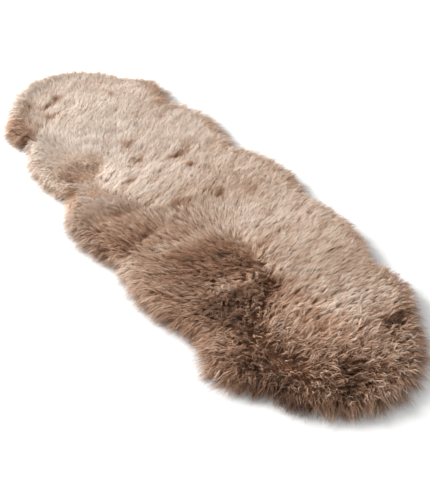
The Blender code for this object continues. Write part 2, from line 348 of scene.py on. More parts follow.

# Patches of other tone: partly the wool's own, partly painted light and shade where its lie turns it to or
# from the lamp, and painted shade in its creases.
toneAndShadePatches = (
    (-0.215, -0.32, 0.37, 0.2, 90, 2, -0.13), (-0.2, 0.29, 0.28, 0.1, 90, 2, 0.17),
    (-0.2, -0.05, 0.16, 0.11, 0, 2, 0.03), (-0.06, 0.43, 0.15, 0.11, 90, 1, 0.03),
    (-0.25, 0.49, 0.05, 0.02, 0, 1, 0.11), (0.21, 0.2, 0.04, 0.04, 0, 1, -0.06),
    (0.12, 0.74, 0.08, 0.06, 0, 1, -0.06), (-0.28, -0.25, 0.09, 0.04, 90, 1, 0.05),
    (-0.07, -0.3, 0.06, 0.04, 0, 1, 0.05), (0.07, -0.31, 0.02, 0.04, 0, 1, -0.05),
    (0.29, -0.4, 0.05, 0.03, 90, 1, -0.07), (0.22, -0.6, 0.05, 0.03, 90, 1, -0.04),
    (0, -0.81, 0.04, 0.03, 0, 1, -0.04), (0, 0.6, 0.05, 0.05, 0, 1, 0.04),
    (0.14, 0.5, 0.06, 0.04, 90, 1, -0.05), (-0.07, 0.21, 0.05, 0.04, 0, 1, 0.03),
    (0.07, 0.1, 0.06, 0.04, 0, 1, 0.05), (-0.07, 0.005, 0.06, 0.03, 0, 1, 0.05),
    (-0.14, -0.2, 0.07, 0.03, 0, 1, 0.1), (-0.01, -0.3, 0.03, 0.03, 0, 1, 0.09),
    (-0.01, -0.4, 0.03, 0.04, 0, 1, 0.11), (-0.14, -0.4, 0.06, 0.03, 0, 1, 0.09),
    (0.21, -0.48, 0.06, 0.04, 90, 1, -0.03), (0, -0.6, 0.04, 0.03, 0, 1, -0.04),
    (-0.04, 0.15, 0.11, 0.06, 0, 1, 0.06), (-0.2, -0.09, 0.14, 0.08, 0, 2, 0.06),
    (-0.235, 0.61, 0.095, 0.032, 62, 1, -0.19), (-0.252, 0.518, 0.04, 0.016, 25, 1, -0.3),
    (-0.285, 0.49, 0.034, 0.022, 60, 1, -0.06), (-0.16, 0.71, 0.05, 0.02, 75, 1, -0.16),
    (-0.105, 0.682, 0.032, 0.013, 28, 1, -0.3), (-0.065, 0.712, 0.026, 0.013, 60, 1, -0.32),
    (-0.135, 0.605, 0.026, 0.016, 60, 1, -0.22), (-0.19, 0.555, 0.04, 0.024, 10, 1, -0.14),
    (-0.12, 0.745, 0.07, 0.03, 50, 1, -0.06), (0.248, 0.59, 0.08, 0.034, 80, 1, -0.24),
    (0.205, 0.5, 0.065, 0.032, 60, 1, -0.12), (0.1, 0.64, 0.02, 0.012, 60, 1, -0.24),
    (-0.21, 0.408, 0.075, 0.024, 0, 2, 0.03), (-0.19, 0.47, 0.05, 0.022, 80, 1, -0.08),
    (-0.182, 0.262, 0.068, 0.052, 8, 6, 0.22), (-0.17, 0.345, 0.07, 0.018, 0, 2, 0.1),
    (-0.23, 0.335, 0.026, 0.018, 50, 1, 0.14), (-0.215, 0.402, 0.05, 0.018, 0, 2, -0.07),
    (0.04, 0, 0.13, 0.03, 0, 1, -0.035), (0.17, -0.38, 0.12, 0.09, 90, 1, -0.03),
    (0, 0.87, 0.2, 0.06, 0, 1, -0.05), (-0.305, 0.6, 0.07, 0.028, 75, 1, -0.08),
    (0.2, 0.78, 0.06, 0.05, 0, 1, -0.05), (-0.14, 0.75, 0.06, 0.07, 0, 1, 0.05),
    (-0.07, 0.3, 0.04, 0.03, 0, 1, 0.04), (0.13, 0.43, 0.05, 0.08, 0, 1, -0.03),
    (0.21, -0.2, 0.04, 0.04, 0, 1, -0.04), (0.06, -0.5, 0.05, 0.08, 0, 1, 0.04),
    (-0.195, 0.18, 0.036, 0.012, 0, 2, 0.09), (-0.26, 0.19, 0.03, 0.02, 30, 1, -0.08),
    (-0.005, 0.322, 0.026, 0.018, 60, 1, -0.24), (-0.022, 0.218, 0.032, 0.012, 42, 1, -0.36),
    (0.085, 0.187, 0.034, 0.014, 6, 1, -0.34), (0.14, 0.222, 0.07, 0.014, 20, 1, -0.1),
    (-0.085, 0.135, 0.022, 0.01, 30, 1, -0.28), (0.095, 0.115, 0.013, 0.012, 0, 1, -0.3),
    (0.11, 0.13, 0.07, 0.03, 20, 1, -0.04), (0.285, 0.3, 0.07, 0.024, 90, 1, -0.14),
    (-0.26, 0.165, 0.035, 0.018, 60, 1, -0.24), (-0.225, 0.105, 0.09, 0.026, -4, 2, 0.02),
    (-0.3, 0.24, 0.08, 0.024, 90, 1, -0.05), (-0.11, 0.065, 0.08, 0.024, -4, 1, 0.09),
    (-0.23, 0.014, 0.14, 0.03, 2, 2, -0.02), (-0.08, -0.35, 0.03, 0.09, 0, 1, 0.03),
    (0.14, 0, 0.04, 0.04, 0, 1, -0.03), (-0.14, -0.7, 0.04, 0.03, 0, 1, 0.05),
    (0.03, -0.81, 0.06, 0.03, 0, 1, -0.05), (0.14, -0.8, 0.04, 0.03, 0, 1, 0.04),
    (-0.13, 0.81, 0.04, 0.03, 0, 1, 0.06), (-0.22, 0.29, 0.1, 0.05, 10, 1, 0.05),
    (0.21, 0.005, 0.05, 0.03, 0, 1, 0.04), (-0.3, -0.21, 0.05, 0.04, 0, 1, 0.14),
    (-0.14, -0.205, 0.05, 0.03, 0, 1, 0.08), (-0.12, -0.4, 0.1, 0.03, 0, 2, 0.07),
    (0.21, -0.4, 0.05, 0.03, 0, 1, 0.06), (0.305, 0.27, 0.2, 0.03, 90, 2, -0.1),
    (0.28, 0.6, 0.13, 0.036, 85, 1, -0.12), (-0.27, -0.71, 0.08, 0.036, 100, 1, -0.17),
    (-0.21, -0.815, 0.06, 0.04, -40, 1, -0.28), (-0.03, -0.8, 0.08, 0.04, -10, 1, -0.12),
    (-0.03, -0.69, 0.06, 0.03, 0, 1, -0.06), (-0.08, 0, 0.06, 0.02, 0, 1, 0.06),
    (-0.3, -0.08, 0.1, 0.05, 80, 1, -0.08), (-0.025, -0.035, 0.042, 0.018, -8, 1, -0.2),
    (0.085, -0.045, 0.03, 0.018, 10, 1, -0.2), (0.172, -0.065, 0.03, 0.026, 20, 1, -0.14),
    (0.31, -0.115, 0.042, 0.022, 80, 1, -0.26), (0.23, -0.72, 0.04, 0.04, 90, 1, -0.1),
    (-0.19, -0.12, 0.1, 0.03, 8, 1, -0.08), (-0.08, -0.165, 0.08, 0.024, 20, 1, -0.06),
    (-0.1, -0.257, 0.112, 0.042, 3, 4, -0.12), (-0.048, -0.296, 0.04, 0.015, 0, 1, -0.22),
    (-0.05, -0.345, 0.06, 0.05, 30, 4, -0.15), (-0.13, -0.345, 0.06, 0.05, 0, 1, -0.08),
    (-0.075, -0.4, 0.04, 0.014, -25, 1, 0.1), (-0.095, -0.455, 0.12, 0.036, -4, 3, -0.17),
    (-0.01, -0.425, 0.03, 0.026, 90, 2, -0.12), (-0.165, -0.54, 0.05, 0.04, 90, 2, -0.13),
    (-0.33, -0.3, 0.13, 0.028, 88, 1, 0.03), (-0.04, -0.55, 0.06, 0.035, 0, 1, 0.06),
    (-0.24, -0.56, 0.05, 0.03, 10, 1, 0.05), (-0.18, -0.6, 0.04, 0.04, 90, 1, 0.04),
    (-0.19, -0.69, 0.09, 0.075, 0, 2, -0.15), (-0.14, -0.62, 0.06, 0.024, 0, 1, -0.04),
    (0.155, -0.703, 0.05, 0.018, 6, 2, -0.24), (0.15, -0.75, 0.06, 0.04, 50, 2, -0.12),
    (0.08, -0.65, 0.12, 0.04, 5, 1, 0.04), (0.075, -0.6, 0.06, 0.03, 5, 1, 0.09),
    (0, -0.5, 0.05, 0.03, 90, 1, -0.09), (0.06, -0.305, 0.045, 0.02, 20, 1, -0.08),
    (-0.04, -0.77, 0.04, 0.02, 0, 1, -0.12), (-0.08, -0.83, 0.05, 0.026, 10, 1, -0.12),
    (0.09, -0.8, 0.09, 0.05, 20, 1, 0.13), (-0.17, -0.79, 0.09, 0.05, -30, 1, -0.07),
    (0.28, -0.66, 0.09, 0.04, 90, 1, -0.12),
)
tufting = {
    # size, change of tone, change of height; the tone goes with the height, a painted light on raised
    # patches as well as uneven tone
    "mottle": ((0.070, 0.022, 0.0016), (0.032, 0.032, 0.0016), (0.015, 0.022, 0.0010)),
    "longer": 0.6,  # mottles are longer across the rug than along it
    "ragged": 0.007,  # edges of the patches of tone waver by this
    "raggedSize": 0.045,
}


def mottled(x, y, column):  # 1 for the change of tone, 2 for the change of height
    rows = enumerate(tufting["mottle"])
    return sum(row[column] * wobble(x * tufting["longer"], y, row[0], 23 + step) for step, row in rows)


# tone of the wool, with painted light and shade in it
def woolToneAndShade(x, y):
    shiftX, shiftY = (tufting["ragged"] * wobble(x, y, tufting["raggedSize"], seed) for seed in (21, 22))
    patches = patchSum(x + shiftX, y + shiftY, toneAndShadePatches)
    return alongStations(y, toneAndShadeStations) + patches + mottled(x, y, 1)


# Hue along the rug, and patches of other hue: from 0, warm brown, to 1, pale beige.
hueStations = (
    (-0.9, 0.36), (-0.8, 0.38), (-0.7, 0.54), (-0.6, 0.66), (-0.5, 0.62), (-0.4, 0.68), (-0.3, 0.76),
    (-0.2, 0.8), (-0.1, 0.7), (0, 0.68), (0.12, 0.78), (0.3, 0.86), (0.9, 0.88),
)
huePatches = (
    (-0.185, -0.37, 0.33, 0.2, 90, 2, -0.2), (-0.1, -0.3, 0.1, 0.09, 90, 2, -0.1),
    (0, -0.6, 0.1, 0.07, 90, 1, -0.2), (-0.26, -0.05, 0.13, 0.1, 0, 2, -0.18),
    (-0.32, -0.05, 0.12, 0.04, 90, 1, 0.2), (-0.3, -0.38, 0.2, 0.035, 90, 1, 0.1),
    (0.06, -0.885, 0.16, 0.03, 0, 1, 0.12), (-0.24, 0.23, 0.19, 0.1, 90, 2, -0.14),
    (-0.185, 0.262, 0.07, 0.052, 8, 4, -0.16), (-0.22, 0.11, 0.12, 0.06, 0, 2, -0.08),
    (-0.2, -0.6, 0.05, 0.04, 90, 1, -0.14), (-0.06, -0.4, 0.05, 0.05, 0, 1, -0.1),
    (-0.16, 0.59, 0.06, 0.05, 0, 1, -0.06), (-0.26, 0.59, 0.1, 0.06, 65, 2, -0.2),
    (-0.14, -0.77, 0.18, 0.09, -10, 2, -0.1),
)
hueFollows = 1.85  # the darker the wool in one place, the warmer


def woolHue(x, y, tone):
    evenTone = alongStations(y, toneAndShadeStations)
    hue = alongStations(y, hueStations) + patchSum(x, y, huePatches)
    return np.clip(hue + hueFollows * (tone - evenTone), 0.02, 0.98)


# How rough the wool lies: 0 where it is combed smooth, 1 where its locks stand apart and curl.
roughStations = (
    (-0.9, 0.85), (-0.75, 0.95), (-0.62, 0.6), (-0.45, 0.36), (-0.1, 0.2), (0.1, 0.12), (0.9, 0.08),
)
roughPatches = (
    (0.15, -0.5, 0.26, 0.13, 90, 1, -0.32), (-0.19, -0.4, 0.12, 0.08, 90, 1, 0.08),
    (-0.26, 0.56, 0.07, 0.045, 62, 1, 0.4), (-0.3, 0.25, 0.11, 0.04, 90, 1, 0.2),
    (-0.19, 0.27, 0.08, 0.055, 10, 2, -0.12), (-0.31, -0.08, 0.12, 0.05, 90, 1, 0.3),
    (-0.18, -0.12, 0.09, 0.04, 5, 1, 0.25), (-0.1, -0.25, 0.1, 0.045, 0, 1, -0.12),
    (-0.105, -0.4, 0.11, 0.045, 90, 1, 0.14), (-0.12, -0.54, 0.11, 0.05, 90, 1, 0.2),
    (-0.12, -0.66, 0.1, 0.05, 90, 1, 0.2), (-0.18, -0.68, 0.1, 0.07, 0, 1, 0.15),
    (0.15, -0.74, 0.06, 0.05, 40, 1, 0.2),
)


def woolRoughness(x, y):
    even = alongStations(y, roughStations) + patchSum(x, y, roughPatches)
    return np.clip(even + 0.06 * wobble(x, y, 0.10, 31), 0.02, 1)


# Materials

def newMaterial(name):
    material = bpy.data.materials.new(name)
    material.use_nodes = True
    nodes = material.node_tree.nodes
    return material, nodes, material.node_tree.links, nodes["Principled BSDF"]


def addRamp(nodes, links, source, stops):
    ramp = nodes.new("ShaderNodeValToRGB")
    elements = ramp.color_ramp.elements
    while len(elements) < len(stops):
        elements.new(0.5)
    for element, (place, color) in zip(elements, stops):
        element.position = place
        element.color = (*color, 1)
    links.new(source, ramp.inputs["Fac"])
    return ramp.outputs["Color"]


def addTexture(nodes, links, kind, scale):
    coords = nodes.new("ShaderNodeTexCoord")
    texture = nodes.new(kind)
    texture.inputs["Scale"].default_value = scale
    links.new(coords.outputs["Object"], texture.inputs["Vector"])
    return texture


def addBump(nodes, links, source, shader, strength, distance):
    bump = nodes.new("ShaderNodeBump")
    bump.inputs["Strength"].default_value = strength
    bump.inputs["Distance"].default_value = distance
    links.new(source, bump.inputs["Height"])
    links.new(bump.outputs["Normal"], shader.inputs["Normal"])


def multiply(nodes, links, first, second):
    mix = nodes.new("ShaderNodeMix")
    mix.data_type = "RGBA"
    mix.blend_type = "MULTIPLY"
    mix.inputs["Factor"].default_value = 1
    links.new(first, mix.inputs["A"])
    links.new(second, mix.inputs["B"])
    return mix.outputs["Result"]


woolLook = {
    "tones": (  # brightness along the tone scale
        (0, 0.055), (0.25, 0.185), (0.375, 0.312), (0.5, 0.432),
        (0.56, 0.517), (0.625, 0.624), (0.75, 0.81), (0.9, 1),
    ),
    "hues": (  # from warm brown to pale beige
        (0.00, (1.000, 0.520, 0.310)),
        (0.17, (0.992, 0.589, 0.386)),
        (0.33, (0.945, 0.601, 0.407)),
        (0.50, (0.880, 0.616, 0.446)),
        (0.67, (0.819, 0.629, 0.498)),
        (0.83, (0.779, 0.637, 0.537)),
        (1.00, (0.742, 0.645, 0.561)),
    ),
    "roughness": 0.82,
    "sheen": 0.06,
    "sheenRoughness": 0.45,
    "sheenTint": (1.0, 0.86, 0.76),
    "specular": 0.12,
}


def woolColor(nodes, links, source):  # source holds tone and hue as its first two numbers
    split = nodes.new("ShaderNodeSeparateXYZ")
    links.new(source, split.inputs["Vector"])
    greys = [(place, (grey, grey, grey)) for place, grey in woolLook["tones"]]
    tones = addRamp(nodes, links, split.outputs["X"], greys)
    hues = addRamp(nodes, links, split.outputs["Y"], woolLook["hues"])
    return multiply(nodes, links, tones, hues)


def makeWoolMaterial():
    material, nodes, links, shader = newMaterial("longWool")
    place = nodes.new("ShaderNodeUVMap")
    place.uv_map = "OFBake"  # across: tone, up: hue
    links.new(woolColor(nodes, links, place.outputs["UV"]), shader.inputs["Base Color"])
    shader.inputs["Roughness"].default_value = woolLook["roughness"]
    shader.inputs["Sheen Weight"].default_value = woolLook["sheen"]
    shader.inputs["Sheen Roughness"].default_value = woolLook["sheenRoughness"]
    shader.inputs["Sheen Tint"].default_value = (*woolLook["sheenTint"], 1)
    shader.inputs["Specular IOR Level"].default_value = woolLook["specular"]
    return material


woolMaterial = makeWoolMaterial()

# Long wool. Each lock is a bunch of strands that starts in the undercoat and closes towards its tip.

longWool = {
    "spacing": 0.0075,
    # root to tip along the floor
    "lay": ((-0.90, 0.036), (-0.40, 0.042), (-0.10, 0.038), (0.15, 0.030), (0.90, 0.028)),
    "layUneven": 0.20,
    "shortest": 0.010,
    "rootHeight": 0.003,
    "stands": ((-0.45, 0.0), (0.15, 1.0)),  # 1 where the tips stand up like plush
    "standsFrom": (0.01, 0.05),  # in from the edge
    "rises": (0.80, -0.25),  # share of its height that a lock gains near its root, and less where it stands
    "lift": (0.0015, -0.007),
    "pitDepth": 0.009,
    "pitLay": 0.4,  # wool stands up in a pit
    "seenAt": 0.35,  # a lock takes its tone from this share of its lay before the tip
    "jitter": (0.0005, 0.0048),  # uneven height of the tips: where combed, and what roughness adds
    "turns": (5, 32),  # degrees, likewise
    "tones": (0.006, 0.034),
    "reliefLightAndShade": 8.0,  # painted light and shade: change of tone for each metre that a lock stands out, lighter higher up
    "startsAt": 0.36,  # share of the fibre that the undercoat hides
    "endsEarly": 0.12,
    "spread": 0.0060,
    "wispSpread": (0.0028, -0.0020),
    "closes": (0.02, 0.60),
    "curl": (0.0008, 0.0042),
    "roll": (0.25, 0.60),
    "width": 0.00105,
    "floor": 0.0035,
    "endY": -0.50,  # the curled end of the near pelt
    "seed": 5,
}


def lockRoots(spacing, seed):  # jittered rows over both hides
    draw = np.random.default_rng(seed)
    rowStep = spacing * math.sqrt(3) / 2
    xs = np.arange(cadLow.x, cadHigh.x, spacing)
    ys = np.arange(cadLow.y, cadHigh.y, rowStep)
    gridX, gridY = np.meshgrid(xs, ys)
    gridX = gridX + (np.arange(len(ys)) % 2)[:, None] * spacing / 2
    x = (gridX + draw.uniform(-0.38, 0.38, gridX.shape) * spacing).ravel()
    y = (gridY + draw.uniform(-0.38, 0.38, gridY.shape) * spacing).ravel()
    ux, uy, inset = seenFromSpine(x, y)
    keep = inset > 0.002
    return x[keep], y[keep], ux[keep], uy[keep], inset[keep]


def fromTo(pair, share):  # a value, and what the share adds to it: where combed, and in full roughness
    return pair[0] + pair[1] * share


def topLocks(draw):
    x, y, ux, uy, inset = lockRoots(longWool["spacing"], longWool["seed"])
    rough = woolRoughness(x, y)
    hx, hy, lying = napHeading(x, y, inset, ux, uy)
    turns = np.radians(fromTo(longWool["turns"], rough)) + nap["tangled"] * (1 - lying)
    hx, hy = turned(hx, hy, draw.normal(0, 1, len(x)) * turns)
    lay = alongStations(y, longWool["lay"]) * (1 + draw.normal(0, longWool["layUneven"], len(x)))
    lay = np.maximum(lay, longWool["shortest"]) * (nap["leastLay"] + (1 - nap["leastLay"]) * lying)
    lay = lay * (1 - longWool["pitLay"] * pitShare(x, y))
    tipX = x + hx * lay
    tipY = y + hy * lay
    tipSeen = seenFromSpine(tipX, tipY)
    uneven = draw.normal(0, 1, len(x)) * fromTo(longWool["jitter"], rough)
    uneven += mottled(x, y, 2)
    spots = draw.normal(0, 1, len(x)) * fromTo(longWool["tones"], rough)
    rootTop = woolTop(x, y, ux, uy, inset)
    tipTop = np.maximum(woolTop(tipX, tipY, *tipSeen) + uneven, longWool["rootHeight"])
    stands = alongStations(y, longWool["stands"]) * smoothStep(inset, *longWool["standsFrom"])
    bend = np.maximum(rootTop, tipTop) + fromTo(longWool["lift"], stands)
    back = longWool["seenAt"] * lay
    return {
        "root": np.stack([x, y, np.full_like(x, longWool["rootHeight"])], 1),
        "heading": np.stack([hx, hy], 1),
        "lay": lay,
        "heights": np.stack([rootTop * fromTo(longWool["rises"], stands), bend, tipTop], 1),
        "rough": rough,
        # tone with painted light and shade: lighter where a lock's tip stands higher
        "tone": woolToneAndShade(tipX - back * hx, tipY - back * hy) + uneven * longWool["reliefLightAndShade"] + spots,
    }


def pickLocks(locks, keep):
    return {key: values[keep] for key, values in locks.items()}


def bezier(t, a, b, c, d):
    s = 1 - t
    return a * s**3 + 3 * b * s * s * t + 3 * c * s * t * t + d * t**3


strandMake = {
    "wisp": 3,  # strands that keep together inside a lock
    "wispTones": (0.020, 0.125),
    "tones": (0.026, 0.090),
    "handles": (0.10, 0.60),  # where along its lay a strand bends
    "stray": 0.10,  # share of strands that leave their lock
    "strayCloses": 0.05,
    "closesLate": 1.4,
    "waves": 9.5,  # radians of curl along a strand
    "outOfStep": (0.9, 0.3),  # of a lock's wisps, and of their strands
    "curlUp": 0.6,
    "taper": (0.72, 1.6),
    "widths": (0.7, 1.25),
    "lowest": 0.0004,
    "paleRoots": 0.70,  # combed wool hides its darker, shaded roots
    "shade": 0.48,  # painted shade deep in the wool, partly the roots' own darker colour: fall of the tone towards the root
    "unshaded": 0.05,
    "warmShadeAtRoots": (0.06, 0.30),  # painted warm shade towards the root: fall of the hue, where combed, and what roughness adds
    "warmFrom": 0.8,
    "pitShade": 0.24,  # painted shade: fall of the tone in a pit
    # height of a lock as a share of its width, along the rug
    "thick": ((-0.90, 0.64), (-0.66, 0.56), (-0.50, 0.36), (-0.10, 0.36), (0.15, 0.58), (0.90, 0.60)),
}


def pitShare(x, y):
    return np.clip(-patchSum(x, y, creases) / longWool["pitDepth"], 0, 1)


# Grows the strands of many locks as one mesh of tapering ribbons.
def growWool(name, locks, count, rings, draw, cut):
    lockOf = np.repeat(np.arange(len(locks["lay"])), count)
    strands = len(lockOf)
    wispOf = np.arange(strands) // strandMake["wisp"]
    wisps = wispOf[-1] + 1
    heading = locks["heading"][lockOf]
    root = locks["root"][lockOf]
    rough = locks["rough"][lockOf]
    lay = locks["lay"][lockOf]
    b, c, d = locks["heights"][lockOf].T
    reach = 1 - np.abs(draw.normal(0, cut["endsEarly"], strands))
    t = cut["startsAt"] + (reach[:, None] - cut["startsAt"]) * np.linspace(0, 1, rings)[None, :]
    along = bezier(t, 0, *((share * lay)[:, None] for share in (*strandMake["handles"], 1)))
    up = bezier(t, root[:, 2:3], b[:, None], c[:, None], d[:, None])
    side = np.stack([-heading[:, 1], heading[:, 0]], 1)
    angle = draw.uniform(0, 2 * math.pi, wisps)[wispOf]
    radius = cut["spread"] * np.sqrt(draw.uniform(0, 1, wisps))[wispOf]
    off = draw.normal(0, 1, (2, strands)) * fromTo(cut["wispSpread"], rough)
    stray = draw.uniform(0, 1, strands) < strandMake["stray"]
    closing = np.where(stray, strandMake["strayCloses"], fromTo(cut["closes"], rough))[:, None]
    share = 1 - closing * t ** strandMake["closesLate"]
    across = (radius * np.cos(angle) + off[0])[:, None] * share
    thick = alongStations(root[:, 1], strandMake["thick"])
    above = ((radius * np.sin(angle) + off[1]) * thick)[:, None] * share
    phase = draw.uniform(0, 2 * math.pi, len(locks["lay"]))[lockOf]
    ofWisp, ofStrand = strandMake["outOfStep"]
    phase = phase + draw.normal(0, ofWisp, wisps)[wispOf] + draw.normal(0, ofStrand, strands)
    curl = fromTo(cut["curl"], rough)[:, None] * t * np.sin(t * strandMake["waves"] + phase[:, None])
    across = across + curl
    above = above + curl * strandMake["curlUp"] * np.sign(np.cos(phase))[:, None]
    x = root[:, :1] + heading[:, :1] * along + side[:, :1] * across
    y = root[:, 1:2] + heading[:, 1:] * along + side[:, 1:] * across
    line = np.stack([x, y, np.maximum(up + above, cut["floor"])], 2)
    tangent = np.gradient(line, axis=1)
    tangent /= np.maximum(np.linalg.norm(tangent, axis=2, keepdims=True), 1e-9)
    level = np.concatenate([side, np.zeros((strands, 1))], 1)[:, None, :]
    normal = np.cross(tangent, level)
    roll = (draw.normal(0, 1, strands) * fromTo(cut["roll"], rough))[:, None, None]
    flat = level * np.cos(roll) + normal * np.sin(roll)
    fall, late = strandMake["taper"]
    taper = 1 - fall * np.linspace(0, 1, rings) ** late
    widths = cut["width"] / 2 * draw.uniform(*strandMake["widths"], strands)
    half = widths[:, None, None] * taper[None, :, None]
    points = np.empty((strands, 2 * rings - 1, 3))
    points[:, 0:-1:2] = (line - flat * half)[:, :-1]
    points[:, 1:-1:2] = (line + flat * half)[:, :-1]
    points[:, -1] = line[:, -1]
    points[:, :, 2] = np.maximum(points[:, :, 2], strandMake["lowest"])
    uneven = draw.normal(0, 1, strands) * fromTo(strandMake["tones"], rough)
    uneven += draw.normal(0, 1, wisps)[wispOf] * fromTo(strandMake["wispTones"], rough)
    # painted shade: the tone falls towards the root and in pits, and the hue warms towards the root
    pale = strandMake["paleRoots"] * (1 - rough)[:, None]
    shade = strandMake["shade"] * np.maximum((1 - t) * (1 - pale) - strandMake["unshaded"], 0)
    tone = (locks["tone"][lockOf] + uneven)[:, None] - shade - strandMake["pitShade"] * pitShare(x, y)
    warmer = fromTo(strandMake["warmShadeAtRoots"], rough)[:, None] * (t - strandMake["warmFrom"])
    hue = woolHue(x, y, tone) + warmer
    return ribbonMesh(name, points, np.clip(tone, 0.01, 0.985), np.clip(hue, 0.02, 0.98))


ribbonOnMap = 0.003  # width of a ribbon on its map, where hue runs across it


# Joins strands of equal make into one mesh. Each has pairs of points and one tip.
def ribbonMesh(name, points, tone, hue):
    strands, perStrand = points.shape[:2]
    rings = (perStrand + 1) // 2
    first = np.arange(strands)[:, None] * perStrand
    quads = np.arange(rings - 2)[:, None] * 2 + np.array([0, 1, 3, 2])[None, :]
    tip = np.array([perStrand - 3, perStrand - 2, perStrand - 1])
    pattern = np.concatenate([quads.ravel(), tip])
    corners = (first + pattern[None, :]).ravel()
    sizes = np.array([4] * (rings - 2) + [3])
    within = np.concatenate([[0], np.cumsum(sizes)[:-1]])
    starts = (np.arange(strands)[:, None] * len(pattern) + within).ravel()
    mesh = bpy.data.meshes.new(name)
    mesh.vertices.add(strands * perStrand)
    mesh.vertices.foreach_set("co", points.astype(np.float32).ravel())
    mesh.loops.add(len(corners))
    mesh.loops.foreach_set("vertex_index", corners.astype(np.int32))
    mesh.polygons.add(len(starts))
    mesh.polygons.foreach_set("loop_start", starts.astype(np.int32))
    mesh.polygons.foreach_set("use_smooth", np.ones(len(starts), bool))
    mesh.update(calc_edges=True)
    places = np.empty((strands, perStrand, 2))
    for column, values in enumerate((tone, hue)):
        places[:, 0:-1:2, column] = values[:, :-1]
        places[:, 1:-1:2, column] = values[:, :-1]
        places[:, -1, column] = values[:, -1]
    places[:, 1:-1:2, 1] += ribbonOnMap
    places[:, -1, 1] += ribbonOnMap / 2
    layer = mesh.uv_layers.new(name="OFBake")
    layer.data.foreach_set("uv", places.reshape(-1, 2)[corners].astype(np.float32).ravel())
    mesh.materials.append(woolMaterial)
    mesh.validate()
    piece = bpy.data.objects.new(name, mesh)
    bpy.context.scene.collection.objects.link(piece)
    return piece


def triangleCount(piece):
    return sum(len(p.vertices) - 2 for p in piece.data.polygons)


# Grows and registers the pieces of one make: name, which locks, strands in a lock, rings of a strand.
def growPieces(locks, parts, draw, cut):
    for name, keep, count, rings in parts:
        piece = growWool(name, pickLocks(locks, keep), count, rings, draw, cut)
        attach(piece, "root")
        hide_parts("far_pelt" if name.startswith("far") else "near_pelt")
        print(name, keep.sum(), "locks", triangleCount(piece), "triangles")


def dressWool():
    draw = np.random.default_rng(longWool["seed"])
    locks = topLocks(draw)
    x = locks["root"][:, 0]
    y = locks["root"][:, 1]
    far = y > rug["seamY"]
    end = y < longWool["endY"]
    right = x > rug["spineX"]
    parts = (
        ("farWoolLeft", far & ~right, 14, 3),
        ("farWoolRight", far & right, 14, 3),
        ("nearWoolLeft", ~far & ~end & ~right, 10, 4),
        ("nearWoolRight", ~far & ~end & right, 10, 4),
        ("nearWoolEnd", end, 9, 5),
    )
    growPieces(locks, parts, draw, longWool)


# Locks that hang over the rim, in tiers from the floor up. They gather in tufts.
rimWool = {
    "step": 0.0062,  # between locks along the edge
    # height of the root, place of the tip on the rim's profile, height of the tip as a share of the rim's
    "tiers": (
        (0.0030, 0.88, 0.10),
        (0.0080, 1.00, 0.40),
        (0.0150, 1.04, 0.75),
        (0.0220, 1.00, 1.00),
        (0.0300, 0.88, 1.00),
    ),
    "tuft": 0.030,  # width of a tuft
    "gathers": 0.26,  # turn of its outer locks, towards its middle
    "tuftShift": (2.5, 0.9),  # radians: along the edge, and from tier to tier
    # painted light and shade: a tuft is lighter in its middle and darker between tufts
    "tuftReach": 0.08,  # how far a tuft's middle stands out
    "tuftLightAndShade": 0.05,
    "turns": (9, 8),  # degrees
    "sway": 0.45,
    "back": (0.004, 0.006),  # of the roots, in from the edge
    "reaches": (0.03, 0.06),  # mean and spread
    "tips": 0.4,  # unevenness of their height
    "bulge": (0.004, 0.006),  # near left, and what the far right adds
    "roughest": 0.8,
    "tones": 0.03,
    "darker": 0.02,
    "strands": 9,
    "rings": 4,
    "startsAt": 0.12,
    "endsEarly": 0.28,
    "spread": 0.0095,
    "wispSpread": (0.0042, -0.0016),
    "closes": (0.00, 0.25),
    "curl": (0.0016, 0.0062),
    "roll": (0.35, 0.50),
    "width": 0.0010,
    "floor": 0.0006,
    "seed": 8,
}


def rimPlaces(step):  # points along the hide's edge, evenly spaced
    half = rug["spineHalf"]
    legs = []
    for side in (1, -1):
        stations = np.linspace(-half, half, 400) * side
        angles = np.linspace(0, math.pi, 260)[1:-1]
        legs.append((stations, np.full_like(stations, side), np.zeros_like(stations)))
        legs.append((np.full_like(angles, half * side), np.cos(angles) * side, np.sin(angles) * side))
    sy, ux, uy = (np.concatenate(column) for column in zip(*legs))
    justOff = 1e-4
    x = rug["spineX"] + ux * justOff
    y = rug["seamY"] + sy + uy * justOff
    inset = seenFromSpine(x, y)[2]
    edgeX = x + ux * inset
    edgeY = y + uy * inset
    gaps = np.hypot(np.diff(edgeX, append=edgeX[0]), np.diff(edgeY, append=edgeY[0]))
    walked = np.concatenate([[0], np.cumsum(gaps)])
    stops = np.arange(0, walked[-1], step)
    at = np.clip(np.searchsorted(walked, stops), 0, len(edgeX) - 1)
    return edgeX[at], edgeY[at], ux[at], uy[at], stops


